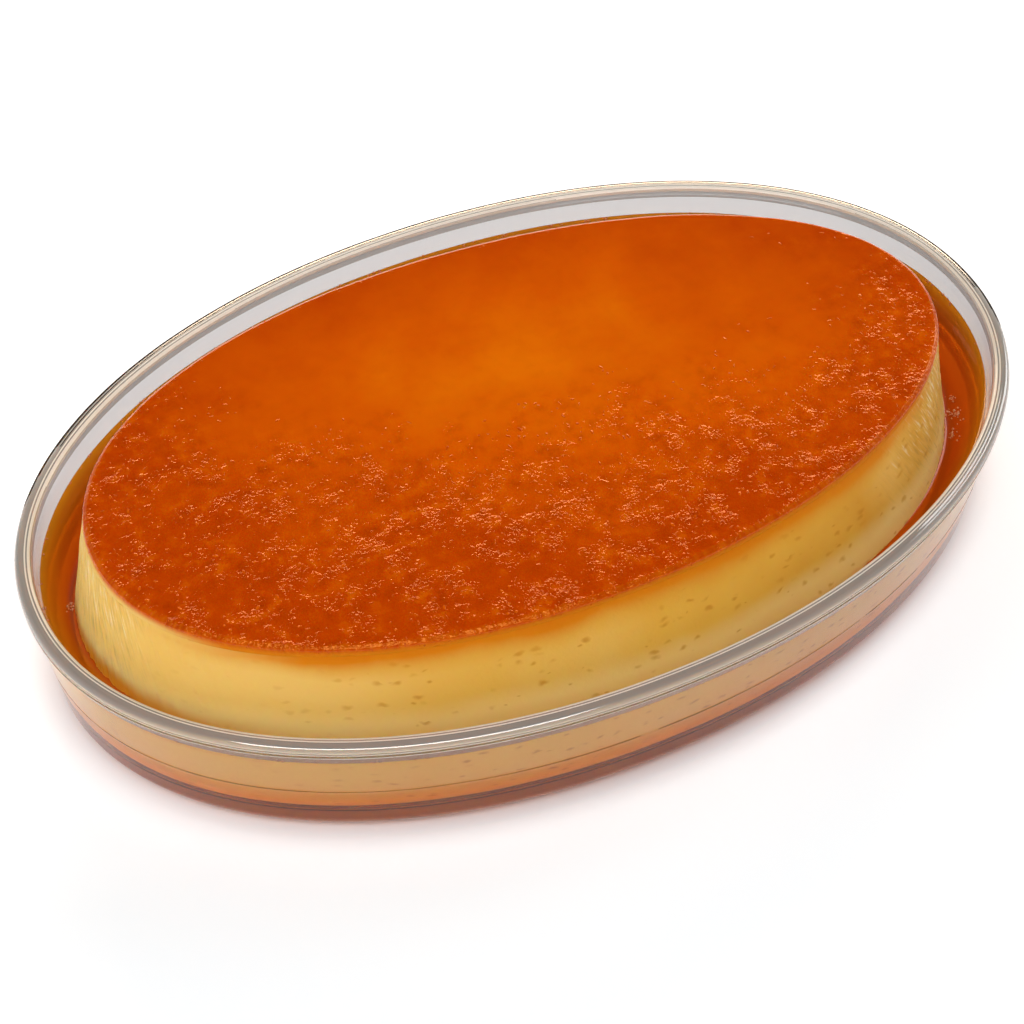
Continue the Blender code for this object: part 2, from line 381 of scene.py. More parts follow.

# The lip, polished longest in the flame: the brightest glints, in white lines along its rounds. Its
# half-matt pale grey body is painted light, lit like a matt face in place of the light and dark that the
# bead carries through.
lip_glass, *_ = new_material("fire_polished_glass_lip", {
    "Base Color": linear("D6D4CC"), "Roughness": 0.0, "IOR": GLASS_IOR, "Transmission Weight": 0.55,
    "Coat Weight": 1.0, "Coat Roughness": 0.03, "Coat IOR": 2.0})

# The lip's inner round, where it turns from its crown to the wall, drawn as a pale line: a painted
# highlight of nearly matt white glass, in place of the light the round gathers from the wall below it.
painted_highlight_glass, *_ = new_material("glass_lip_crown_painted_highlight", {
    "Base Color": linear("FCF8EE"), "Roughness": 0.05, "IOR": GLASS_IOR, "Transmission Weight": 0.1})

# The lip's outer round at the back, drawn as a dark line: painted shade, dark glass in place of the dark
# that the glass's greatest depth shows.
painted_dark_line_glass, *_ = new_material("glass_lip_outer_edge_painted_dark_line", {
    **CLEAR, "Base Color": linear("3A3632"), "IOR": 1.03})

# The inside above the syrup, greyed with painted shade: the shadowed floor that shows through the wall,
# painted into the glass.
painted_shade_glass, *_ = new_material("glass_with_painted_shade", {
    **CLEAR, "Base Color": linear("929397"), "IOR": GLASS_IOR})

dish_sizes = {"Segments": DISH_SEGMENTS, "Half Length": DISH_HALF_LENGTH, "Half Width": DISH_HALF_WIDTH,
              "Squareness": DISH_SQUARENESS, "Polish Wave": 0.1 * MM, "Polish Length": 16 * MM,
              "Seam Proud": 0.05 * MM}
dish = new_piece("glass_dish", dish_section())
grow(dish, oval_loft_tree(dish_sizes), dish_sizes)
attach(dish, "root")
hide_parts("dish")

# ---------------------------------------------------------------------------------------------------
# Custard. Egg yolks and condensed milk, steamed in an oval tin and turned out: dense, moist and
# yellow, with small steam pores and, at both ends, fine creases where it let go of the tin. Caramel
# has soaked in below its top edge and round its foot.

FLAN_HALF_LENGTH = 104.3 * MM
FLAN_HALF_WIDTH = 55.4 * MM
FLAN_SQUARENESS = 2.06
FLAN_TOP = 52.8 * MM
FLAN_CENTRE = (-4.8 * MM, -5.0 * MM)
FLAN_YAW = radians(-1.75)
FLAN_FLARE_LENGTH = 4.6 * MM
FLAN_FLARE_WIDTH = 7.6 * MM
FLAN_LEAN = (-0.5 * MM, -4.3 * MM)
FLAN_EGG_TOP = 0.0128
FLAN_EGG_FOOT = -0.0101
FOOT_ROUND = 10.0 * MM
SYRUP_LEVEL = 29.0 * MM
JOIN_HEIGHT = FLAN_TOP - 3.0 * MM  # where the custard ends and the caramel layer begins
SUNK = 0.1 * MM  # how far what fills the dish reaches into the glass
MEAN_RADIUS = 84 * MM  # of the flan's outline, which turns a pitch along its edge into an angle
CUSTARD_COLUMNS = 1200
SHOWN_FROM = SYRUP_LEVEL - 3 * MM  # the lowest part of the side that shows through the syrup


def oval(c, s, squareness, half_length, half_width):
    """x and y of points on a superellipse, from the cosines and sines of their angles."""
    return (np.sign(c) * np.abs(c) ** (2 / squareness) * half_length,
            np.sign(s) * np.abs(s) ** (2 / squareness) * half_width)


def flan_points(angle, inset, height, share=1.0):
    """Points of the flan's outline at the given angles, drawn in by inset and scaled by share."""
    down = np.minimum((FLAN_TOP - height) / (FLAN_TOP - SYRUP_LEVEL), 1)
    half_length = FLAN_HALF_LENGTH + FLAN_FLARE_LENGTH * down - inset
    half_width = FLAN_HALF_WIDTH + FLAN_FLARE_WIDTH * down - inset
    egg = FLAN_EGG_TOP + (FLAN_EGG_FOOT - FLAN_EGG_TOP) * down
    swell_out = (1 + egg * np.cos(3 * angle)) * share
    x, y = [side * swell_out
            for side in oval(np.cos(angle), np.sin(angle), FLAN_SQUARENESS, half_length, half_width)]
    cy, sy = cos(FLAN_YAW), sin(FLAN_YAW)
    return np.stack([FLAN_CENTRE[0] + FLAN_LEAN[0] * down + cy * x - sy * y,
                     FLAN_CENTRE[1] + FLAN_LEAN[1] * down + sy * x + cy * y, height + 0 * x], axis=-1)


def ring_faces(rings, columns, start=0, closed=False):
    """Quads that join rings of points, each to the next one, all the way round."""
    steps = np.arange(rings if closed else rings - 1)[:, None]
    here = np.arange(columns)[None, :]
    ahead = (here + 1) % columns
    upper = (steps + 1) % rings
    quads = np.stack([steps * columns + here, steps * columns + ahead,
                      upper * columns + ahead, upper * columns + here], axis=-1)
    return (quads.reshape(-1, 4) + start).tolist()


def keep(piece, name, values):
    """Keeps a number or a vector for each point of a piece, in an attribute."""
    kind, held = ("FLOAT_VECTOR", "vector") if values.ndim > 1 else ("FLOAT", "value")
    kept = piece.data.attributes.new(name, kind, "POINT")
    kept.data.foreach_set(held, values.astype(np.float32).ravel())


def keep_bearing(piece, angle):
    """Keeps each point's direction from the flan's middle, so that creases can run square to the edge."""
    keep(piece, "bearing", np.stack([np.cos(angle), np.sin(angle), 0 * angle], axis=-1))


def custard_piece():
    """The custard below the caramel layer: dense rings where its side shows, few below the syrup."""
    columns = CUSTARD_COLUMNS
    foot = arc((FOOT_ROUND, FLOOR_THICKNESS - SUNK + FOOT_ROUND), FOOT_ROUND, 270, 180, 6)
    low = between(foot[-1], (0, SHOWN_FROM), 6)
    side = between((0, SHOWN_FROM), (0, JOIN_HEIGHT), 50)
    section = foot[:-1] + low + side + [(0, JOIN_HEIGHT)]
    angle = np.tile(np.arange(columns) * tau / columns, (len(section), 1))
    inset = np.array([p[0] for p in section])[:, None]
    height = np.array([p[1] for p in section])[:, None]
    points = flan_points(angle, inset, height).reshape(-1, 3)
    faces = ring_faces(len(section), columns)
    top = (len(section) - 1) * columns
    faces.append(list(range(top, top + columns)))
    faces.append(list(range(columns - 1, -1, -1)))
    piece = new_piece("steamed_custard", points, faces)
    keep_bearing(piece, angle.ravel())
    return piece


PORE_SPACING = 3.7 * MM
PORE_RADIUS = 0.52  # of the widest pore, as a share of the spacing
PORE_FLATTENED = (1.0, 1.0, 2.1)  # pores are wider than they are tall, so their cells are too
PORE_FRAY, FRAY_PER_METRE = 1.5 * MM, 420.0  # how far noise pulls their outlines about, and how finely
PORELESS = 0.4  # share of the cells in which no pore formed
DENSE_END, OPEN_END = -92 * MM, -55 * MM  # the custard is denser at its left end, and opens between these


def steam_pores(tree, where, spacing, radius):
    """1 in the middle of a pore and 0 outside. Chance gives each cell a pore of its own size or none."""
    torn = node(tree, "ShaderNodeTexNoise", {"Vector": where, "Scale": FRAY_PER_METRE, "Detail": 1.0})
    frayed = node(tree, "ShaderNodeVectorMath", {0: torn.outputs["Color"], "Scale": PORE_FRAY},
                  operation="SCALE")
    moved = node(tree, "ShaderNodeVectorMath", {0: where, 1: frayed})
    squeezed = node(tree, "ShaderNodeVectorMath", {0: moved, 1: PORE_FLATTENED}, operation="MULTIPLY")
    density = node(tree, "ShaderNodeMath", {0: 1.0, 1: spacing}, operation="DIVIDE")
    cells = node(tree, "ShaderNodeTexVoronoi", {"Vector": squeezed, "Scale": density})
    chance = node(tree, "ShaderNodeSeparateXYZ", {0: cells.outputs["Color"]}).outputs["X"]
    reach = node(tree, "ShaderNodeMapRange", {"Value": chance, 1: 0.25, 4: radius})
    inside = node(tree, "ShaderNodeMath", {0: cells.outputs["Distance"], 1: reach}, operation="DIVIDE")
    pore = node(tree, "ShaderNodeMapRange", {"Value": inside, 1: 1.0, 2: 0.15},
                interpolation_type="SMOOTHSTEP")
    real = node(tree, "ShaderNodeMath", {0: chance, 1: PORELESS}, operation="GREATER_THAN")
    along = node(tree, "ShaderNodeSeparateXYZ", {0: where}).outputs["X"]
    dense = node(tree, "ShaderNodeMapRange", {"Value": along, 1: DENSE_END, 2: OPEN_END, 3: 0.15})
    for share in (real, dense):
        pore = node(tree, "ShaderNodeMath", {0: pore, 1: share}, operation="MULTIPLY")
    return pore


CREASE_SLANT = 0.6  # sideways run of a crease for its run down


def crease_path(tree, way, position, turns, wander):
    """Where noise is read so that its creases run down from the edge, square to it and a little aslant:
    a point's bearing, turned back by its depth below the top and scaled to the creases' pitch. They
    change slowly on their way down, as wander says for each metre."""
    high = node(tree, "ShaderNodeSeparateXYZ", {0: position}).outputs["Z"]
    below = node(tree, "ShaderNodeMath", {0: high, 1: FLAN_TOP}, operation="SUBTRACT")
    angle = node(tree, "ShaderNodeMath", {0: below, 1: CREASE_SLANT / MEAN_RADIUS}, operation="MULTIPLY")
    slanted = node(tree, "ShaderNodeVectorRotate", {"Vector": way, "Angle": angle},
                   rotation_type="Z_AXIS")
    round_it = node(tree, "ShaderNodeVectorMath", {0: slanted, "Scale": turns}, operation="SCALE")
    up = node(tree, "ShaderNodeVectorMath", {0: position, 1: wander}, operation="MULTIPLY")
    return node(tree, "ShaderNodeVectorMath", {0: round_it, 1: up})


CREASE_WANDER = (12.0, 12.0, 110.0)
WAVES_PER_METRE = 60.0  # long, low waves, as the tin's thin wall and floor leave


def custard_relief_tree(sizes):
    """Steam pores all round, and creases at the two ends that run down from the top edge."""
    tree, given = new_tree("custard_relief", sizes)
    position = node(tree, "GeometryNodeInputPosition")
    pore = steam_pores(tree, position, given["Pore Spacing"], given["Pore Radius"])
    way = node(tree, "GeometryNodeInputNamedAttribute", {"Name": "bearing"}, data_type="FLOAT_VECTOR")
    end = node(tree, "ShaderNodeMath", {0: node(tree, "ShaderNodeSeparateXYZ", {0: way}).outputs["X"]},
               operation="ABSOLUTE")
    at_end = node(tree, "ShaderNodeMapRange", {"Value": end, 1: 0.72, 2: 0.98, 3: 0.08},
                  interpolation_type="SMOOTHSTEP")
    turns = node(tree, "ShaderNodeMath", {0: MEAN_RADIUS, 1: given["Crease Pitch"]}, operation="DIVIDE")
    folds = swell(tree, crease_path(tree, way, position, turns, CREASE_WANDER), 1.0, 2.0, at_end)
    creased = node(tree, "ShaderNodeMath", {0: folds, 1: given["Crease Depth"]}, operation="MULTIPLY")
    waved = swell(tree, position, WAVES_PER_METRE, 2.0, given["Wave"])
    dent = node(tree, "ShaderNodeMath", {0: pore, 1: given["Pore Depth"]}, operation="MULTIPLY")
    shape = node(tree, "ShaderNodeMath", {0: creased, 1: waved})
    rise = node(tree, "ShaderNodeMath", {0: shape, 1: dent}, operation="SUBTRACT")
    return end_tree(tree, raised(tree, given["Geometry"], rise, LEVEL), steamed_custard)


# Painted light: paler to the left, where more light falls, and deeper yellow to the right, in its shade.
BODY_TONES = {0.0: "F1C368", 0.5: "EAB246", 0.82: "DC9A34", 1.0: "E8B054"}  # from the left end on
SOAKED_TONES = {0.0: "E8AA3A", 0.45: "E0962A", 0.75: "DE840E", 1.0: "DC7C08"}  # up to the top edge
PAINTED_HIGHLIGHT_CREAM = "FBEBC0"
PAINTED_LIGHT_BAND = "FCD688"
PORE_SHADE_BROWN = "C67E1C"
FOOT_AMBER = "E08A14"
STREAK_PITCH = 0.75 * MM
STREAK_WANDER = (40.0, 40.0, 240.0)
STREAK_LEAD = 1.8 * MM  # how much deeper a streak leads the caramel
SOAK_WAVER, WAVERS_PER_METRE = 0.9 * MM, 45.0  # how far the soaked band's limit sways, how finely
SOAK_DEPTH, SOAK_DEPTH_AT_END = 6.8 * MM, 3.4 * MM
CLOUDS_PER_METRE = 28.0  # broad, faint changes of the yellow
GRAIN_PER_METRE = 900.0  # the curd's own grain, about a millimetre


def dress_custard(tree, look):
    """Yellow, painted paler to the left end where more light falls, with orange where caramel soaked in
    below the top edge and just over the syrup. Fine streaks run down from the edge, as the creases lead the
    caramel, with painted shade in the creases, painted highlights on them and a band of painted light over
    the syrup."""
    where = node(tree, "ShaderNodeTexCoord").outputs["Object"]
    place = node(tree, "ShaderNodeSeparateXYZ", {0: where}).outputs
    way = node(tree, "ShaderNodeAttribute", attribute_name="bearing").outputs["Vector"]
    along = node(tree, "ShaderNodeSeparateXYZ", {0: way}).outputs["X"]
    end = node(tree, "ShaderNodeMath", {0: along}, operation="ABSOLUTE")
    left_end = node(tree, "ShaderNodeMapRange", {"Value": along, 1: -0.9, 2: -0.995, 3: 0.03},
                    interpolation_type="SMOOTHSTEP")
    right_end = node(tree, "ShaderNodeMapRange", {"Value": along, 1: 0.55, 2: 0.9, 3: 0.03},
                     interpolation_type="SMOOTHSTEP")
    at_end = node(tree, "ShaderNodeMath", {0: left_end, 1: right_end}, operation="MAXIMUM")
    path = crease_path(tree, way, where, MEAN_RADIUS / STREAK_PITCH, STREAK_WANDER)
    streaked = swell(tree, path, 1.0, 2.0, at_end)
    # How far up the side a point counts as being, with the ragged limits that soaking leaves.
    drift = node(tree, "ShaderNodeTexNoise", {"Vector": where, "Scale": WAVERS_PER_METRE,
                 "Detail": 3.0})
    waver = node(tree, "ShaderNodeMapRange", {"Value": drift, 1: 0.3, 2: 0.7, 3: -SOAK_WAVER,
                 4: SOAK_WAVER})
    led = node(tree, "ShaderNodeMath", {0: streaked, 1: STREAK_LEAD}, operation="MULTIPLY")
    level = node(tree, "ShaderNodeMath", {0: place["Z"], 1: waver})
    ragged = node(tree, "ShaderNodeMath", {0: level, 1: led})
    # The body: painted paler to the left, where more light falls, and cloudy, and darker in the creases
    # with painted shade.
    cloud = node(tree, "ShaderNodeTexNoise", {"Vector": where, "Scale": CLOUDS_PER_METRE,
                 "Detail": 4.0})
    to_right = node(tree, "ShaderNodeMapRange", {"Value": place["X"], 1: -80 * MM, 2: 90 * MM})
    clouded = node(tree, "ShaderNodeMapRange", {"Value": cloud, 1: 0.3, 2: 0.7, 3: -0.18, 4: 0.18})
    tone = node(tree, "ShaderNodeMath", {0: to_right, 1: clouded})
    body = node(tree, "ShaderNodeValToRGB", {0: tone})
    colour_stops(body, BODY_TONES)
    shade = node(tree, "ShaderNodeMapRange", {"Value": streaked, 1: -0.22, 2: 0.0, 3: 0.76})
    colour = node(tree, "ShaderNodeVectorMath", {0: body, "Scale": shade}, operation="SCALE")
    # Painted highlights as torn, cream-coloured streaks below the edge, and a paler band of painted light
    # over the syrup, where the dish's rim shades the side.
    near_top = node(tree, "ShaderNodeMapRange", {"Value": level, 1: SYRUP_LEVEL + 5 * MM,
                    2: FLAN_TOP - 9 * MM})
    high_streak = node(tree, "ShaderNodeMath", {0: streaked, 1: near_top}, operation="MULTIPLY")
    torn = node(tree, "ShaderNodeMapRange", {"Value": high_streak, 1: 0.04, 2: 0.17, 4: 0.6})
    painted_light_band = node(tree, "ShaderNodeMapRange", {"Value": level, 1: SYRUP_LEVEL + 9 * MM,
                  2: SYRUP_LEVEL + 3.5 * MM, 4: 0.6}, interpolation_type="SMOOTHSTEP")
    # The pores' brown is painted shade in their hollows.
    pore = steam_pores(tree, where, PORE_SPACING, PORE_RADIUS)
    pored = node(tree, "ShaderNodeMath", {0: pore, 1: 0.62}, operation="MULTIPLY")
    # Syrup creeps up the foot, most at the left end.
    footed = node(tree, "ShaderNodeMapRange", {"Value": level, 1: SYRUP_LEVEL + 4.8 * MM,
                  2: SYRUP_LEVEL + 1.2 * MM}, interpolation_type="SMOOTHSTEP")
    washed = node(tree, "ShaderNodeMapRange", {"Value": level, 1: SHOWN_FROM, 2: SYRUP_LEVEL, 3: 0.1},
                  interpolation_type="SMOOTHSTEP")
    to_left = node(tree, "ShaderNodeMapRange", {"Value": along, 1: -0.7, 2: -0.96, 3: 0.15, 4: 0.95})
    for share in (washed, to_left):
        footed = node(tree, "ShaderNodeMath", {0: footed, 1: share}, operation="MULTIPLY")
    # Caramel soaks down from the top edge, deepest along the sides and least at the ends.
    soak_from = node(tree, "ShaderNodeMapRange", {"Value": end, 1: 0.5, 2: 0.9,
                     3: JOIN_HEIGHT - SOAK_DEPTH, 4: JOIN_HEIGHT - SOAK_DEPTH_AT_END})
    soak = node(tree, "ShaderNodeMapRange", {"Value": ragged, 1: soak_from, 2: JOIN_HEIGHT})
    orange = node(tree, "ShaderNodeValToRGB", {0: soak})
    colour_stops(orange, SOAKED_TONES)
    off_end = node(tree, "ShaderNodeMapRange", {"Value": end, 1: 0.66, 2: 0.92, 3: 1.0, 4: 0.1})
    soaked = node(tree, "ShaderNodeMapRange", {"Value": soak, 2: 0.8, 4: off_end})
    for share, over in ((torn, linear(PAINTED_HIGHLIGHT_CREAM)), (painted_light_band, linear(PAINTED_LIGHT_BAND)),
                        (pored, linear(PORE_SHADE_BROWN)), (footed, linear(FOOT_AMBER)), (soaked, orange)):
        colour = node(tree, "ShaderNodeMix", {"Factor": share, 6: colour, 7: over},
                      data_type="RGBA").outputs[2]
    grain = node(tree, "ShaderNodeTexNoise", {"Vector": where, "Scale": GRAIN_PER_METRE,
                 "Detail": 3.0})
    ripple = node(tree, "ShaderNodeMath", {0: streaked, 1: 3.0}, operation="MULTIPLY")
    lift = node(tree, "ShaderNodeMath", {0: grain, 1: ripple})
    bump = node(tree, "ShaderNodeBump", {"Height": lift, "Strength": 0.35, "Distance": 0.2 * MM})
    feed(tree, look, {"Base Color": colour, "Normal": bump})


# Steamed egg custard: its colours come from light that enters a millimetre or so and comes back
# yellow, and its moist face shines only faintly.
steamed_custard, custard_tree, custard_look = new_material("steamed_egg_custard", {
    "Roughness": 0.36, "IOR": 1.42, "Specular IOR Level": 0.06, "Subsurface Weight": 0.7,
    "Subsurface Radius": (1.0, 0.55, 0.18), "Subsurface Scale": 0.9 * MM})
dress_custard(custard_tree, custard_look)

custard_sizes = {"Pore Spacing": PORE_SPACING, "Pore Radius": PORE_RADIUS, "Pore Depth": 0.07 * MM,
                 "Crease Pitch": 1.7 * MM, "Crease Depth": 1.0 * MM, "Wave": 0.5 * MM}
custard = custard_piece()
grow(custard, custard_relief_tree(custard_sizes), custard_sizes)
custard.data.set_sharp_from_angle(angle=radians(50))
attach(custard, "root")
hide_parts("custard")

# ---------------------------------------------------------------------------------------------------
# Caramel top. The layer that lay on the caramel in the tin: soaked through, wet with syrup, and
# pitted by steam where the syrup doesn't stand deep. It rounds over the flan's edge, where the
# creases cut it into a row of small beads.

EDGE_RADIUS = 0.35 * MM  # of the rounds above and below the slope at the edge
EDGE_WIDTH = 0.85 * MM  # of the whole edge, seen from above
EDGE_SLOPE = 34  # degrees that the edge falls off between its two rounds
EDGE_DROP = 0.69 * MM  # from the top to the middle of the lower round
EDGE_PROUD, EDGE_PROUD_FRONT = 0.2 * MM, 1.3 * MM  # how far it stands out all round, and more in front
CARAMEL_GRID = (384, 204)  # points of the top along and across the flan


def edge_inset(angle, across):
    """Inset of a point of the edge that lies across from its outermost line, at each angle."""
    return across - EDGE_PROUD - EDGE_PROUD_FRONT * np.clip(-np.sin(angle), 0, 1) ** 1.5


def caramel_piece():
    """A grid bent to the flan's oval, so that its cells stay even, and rings over the rounded edge."""
    across, deep = CARAMEL_GRID
    u, v = np.meshgrid(np.linspace(-1, 1, across), np.linspace(-1, 1, deep), indexing="ij")
    x, y = u * np.sqrt(1 - v * v / 2), v * np.sqrt(1 - u * u / 2)
    share = np.hypot(x, y)
    c, s = x / np.maximum(share, 1e-9), y / np.maximum(share, 1e-9)
    to_oval = (np.abs(c) ** FLAN_SQUARENESS + np.abs(s) ** FLAN_SQUARENESS) ** (-1 / FLAN_SQUARENESS)
    half_power = FLAN_SQUARENESS / 2
    angle = np.arctan2(np.sign(s) * np.abs(s * to_oval) ** half_power,
                       np.sign(c) * np.abs(c * to_oval) ** half_power)
    top = flan_points(angle, edge_inset(angle, EDGE_WIDTH), np.full_like(x, FLAN_TOP), share).reshape(-1, 3)
    index = np.arange(across * deep).reshape(across, deep)
    quads = np.stack([index[:-1, :-1], index[1:, :-1], index[1:, 1:], index[:-1, 1:]], axis=-1)
    faces = quads.reshape(-1, 4).tolist()
    border = np.concatenate([index[:-1, 0], index[-1, :-1], index[:0:-1, -1], index[0, :0:-1]])
    rim_angle = angle.ravel()[border]
    upper = arc((EDGE_WIDTH, FLAN_TOP - EDGE_RADIUS), EDGE_RADIUS, 90, 90 + EDGE_SLOPE, 4)[1:]
    lower = arc((EDGE_RADIUS, FLAN_TOP - EDGE_DROP), EDGE_RADIUS, 90 + EDGE_SLOPE, 180, 5)
    edge = upper + between(upper[-1], lower[0], 4)[1:] + lower
    rings = [flan_points(rim_angle, edge_inset(rim_angle, across), np.full_like(rim_angle, height))
             for across, height in edge]
    middle = np.full_like(rim_angle, (edge[-1][1] + JOIN_HEIGHT) / 2)
    rings.append(flan_points(rim_angle, 0.45 * edge_inset(rim_angle, 0.0), middle))
    rings.append(flan_points(rim_angle, 0.0, np.full_like(rim_angle, JOIN_HEIGHT)))
    columns = len(border)
    first = np.array(border)
    start = across * deep
    ahead = np.roll(np.arange(columns), -1)
    faces += np.stack([first, start + np.arange(columns), start + ahead, first[ahead]], axis=-1).tolist()
    faces += [face[::-1] for face in ring_faces(len(rings), columns, start)]
    last = start + (len(rings) - 1) * columns
    faces.append(list(range(last + columns - 1, last - 1, -1)))
    points = np.concatenate([top] + rings)
    piece = new_piece("caramel_skin", points, faces)
    keep_bearing(piece, np.concatenate([angle.ravel()] + [rim_angle] * len(rings)))
    keep(piece, "reach", np.concatenate([share.ravel(), np.ones(columns * len(rings))]))
    return piece


CALM_CENTRE = (9 * MM, 25 * MM, 0.0)
CALM_HALF_SIZE = (90 * MM, 36 * MM)  # of the oval where the surface is smooth
# The bright oval is painted brighter orange: partly the thinner film's own colour, partly painted light
# that shows through it.
BRIGHT_CENTRE = (4 * MM, 5 * MM, 0.0)
BRIGHT_HALF_SIZE = (87 * MM, 42 * MM)  # of the oval that is lit through and orange
OVALS_TURN = radians(10.8)
RAGGED_PER_METRE, RAGGED_SHARE = 45.0, 0.25  # how finely and how far their outlines run in and out


def oval_distance(tree, where, centre, half_size):
    """0 in the middle of an oval on the top, 1 on its ragged outline and more outside it."""
    moved = node(tree, "ShaderNodeVectorMath", {0: where, 1: centre}, operation="SUBTRACT")
    turned = node(tree, "ShaderNodeVectorRotate", {"Vector": moved, "Angle": OVALS_TURN},
                  rotation_type="Z_AXIS")
    shares = (1 / half_size[0], 1 / half_size[1], 0.0)
    drawn = node(tree, "ShaderNodeVectorMath", {0: turned, 1: shares}, operation="MULTIPLY")
    length = node(tree, "ShaderNodeVectorMath", {0: drawn}, operation="LENGTH")
    patches = node(tree, "ShaderNodeTexNoise", {"Vector": where, "Scale": RAGGED_PER_METRE,
                   "Detail": 4.0})
    shift = node(tree, "ShaderNodeMapRange", {"Value": patches, 1: 0.3, 2: 0.7, 3: -RAGGED_SHARE,
                 4: RAGGED_SHARE})
    return node(tree, "ShaderNodeMath", {0: length.outputs["Value"], 1: shift})


PATCHES_PER_METRE = 95.0  # of pitted and smoother ground, about a centimetre wide


def caramel_relief_tree(sizes):
    """Low waves, pits where the surface isn't calm, and beads over the rounded edge."""
    tree, given = new_tree("caramel_relief", sizes)
    position = node(tree, "GeometryNodeInputPosition")
    reach = node(tree, "GeometryNodeInputNamedAttribute", {"Name": "reach"}, data_type="FLOAT")
    off_calm = oval_distance(tree, position, CALM_CENTRE, CALM_HALF_SIZE)
    outer = node(tree, "ShaderNodeMapRange", {"Value": off_calm, 1: 0.75, 2: 1.3},
                 interpolation_type="SMOOTHSTEP")
    patches = node(tree, "ShaderNodeTexNoise", {"Vector": position, "Scale": PATCHES_PER_METRE,
                   "Detail": 2.0})
    patchy = node(tree, "ShaderNodeMapRange", {"Value": patches, 1: 0.36, 2: 0.6, 3: 0.25})
    rough = node(tree, "ShaderNodeMath", {0: outer, 1: patchy}, operation="MULTIPLY")
    density = node(tree, "ShaderNodeMath", {0: 1.0, 1: given["Pit Spacing"]}, operation="DIVIDE")
    cells = node(tree, "ShaderNodeTexVoronoi", {"Vector": position, "Scale": density})
    chance = node(tree, "ShaderNodeSeparateXYZ", {0: cells.outputs["Color"]}).outputs["Y"]
    pit = node(tree, "ShaderNodeMapRange", {"Value": cells.outputs["Distance"], 1: 0.5, 2: 0.1},
               interpolation_type="SMOOTHSTEP")
    lean = node(tree, "ShaderNodeMapRange", {"Value": chance, 3: -1.0, 4: 0.5})  # most go in, some out
    for share in (lean, rough, given["Pit Depth"]):
        pit = node(tree, "ShaderNodeMath", {0: pit, 1: share}, operation="MULTIPLY")
    way = node(tree, "GeometryNodeInputNamedAttribute", {"Name": "bearing"}, data_type="FLOAT_VECTOR")
    turns = node(tree, "ShaderNodeMath", {0: MEAN_RADIUS, 1: given["Bead Pitch"]}, operation="DIVIDE")
    round_it = node(tree, "ShaderNodeVectorMath", {0: way, "Scale": turns}, operation="SCALE")
    at_edge = node(tree, "ShaderNodeMapRange", {"Value": reach, 1: 0.96}, interpolation_type="SMOOTHSTEP")
    above_join = node(tree, "ShaderNodeMapRange", {1: JOIN_HEIGHT + 0.2 * MM, 2: JOIN_HEIGHT + 1.8 * MM,
                      "Value": node(tree, "ShaderNodeSeparateXYZ", {0: position}).outputs["Z"]},
                      interpolation_type="SMOOTHSTEP")
    bead = swell(tree, round_it, 1.0, 1.0, at_edge)
    for share in (above_join, given["Bead Height"]):
        bead = node(tree, "ShaderNodeMath", {0: bead, 1: share}, operation="MULTIPLY")
    both = node(tree, "ShaderNodeMath", {0: pit, 1: bead})
    rise = node(tree, "ShaderNodeMath", {0: both,
                1: swell(tree, position, WAVES_PER_METRE, 2.0, given["Wave"])})
    marked = node(tree, "GeometryNodeStoreNamedAttribute", {"Geometry": given["Geometry"],
                  "Name": "rough", "Value": rough}, data_type="FLOAT", domain="POINT")
    return end_tree(tree, raised(tree, marked, rise), soaked_caramel)


CARAMEL_BRIGHT = "F07804"
CARAMEL_ORANGE = "E26002"
CARAMEL_RED = "C84601"
CARAMEL_DARK = "9C2E00"
CARAMEL_EDGE = "DE6E04"
BARE_YELLOW = "EEC06C"  # of the custard that shows through the layer's side at the flan's ends
LEAST_ROUGH = 0.12  # what even the calm oval has of mottling and grit
RIB_PITCH = 1.05 * MM
BLOTS_PER_METRE = 280.0  # brown and light blots, 3 to 4 mm wide
GRIT_PER_METRE = 1250.0  # fine pits in the film, 0.8 mm apart
BUNCHES_PER_METRE = 230.0  # the grit comes in bunches of 4 to 5 mm
FRONT_TO_BACK = (0.3, 0.95, 0.0)


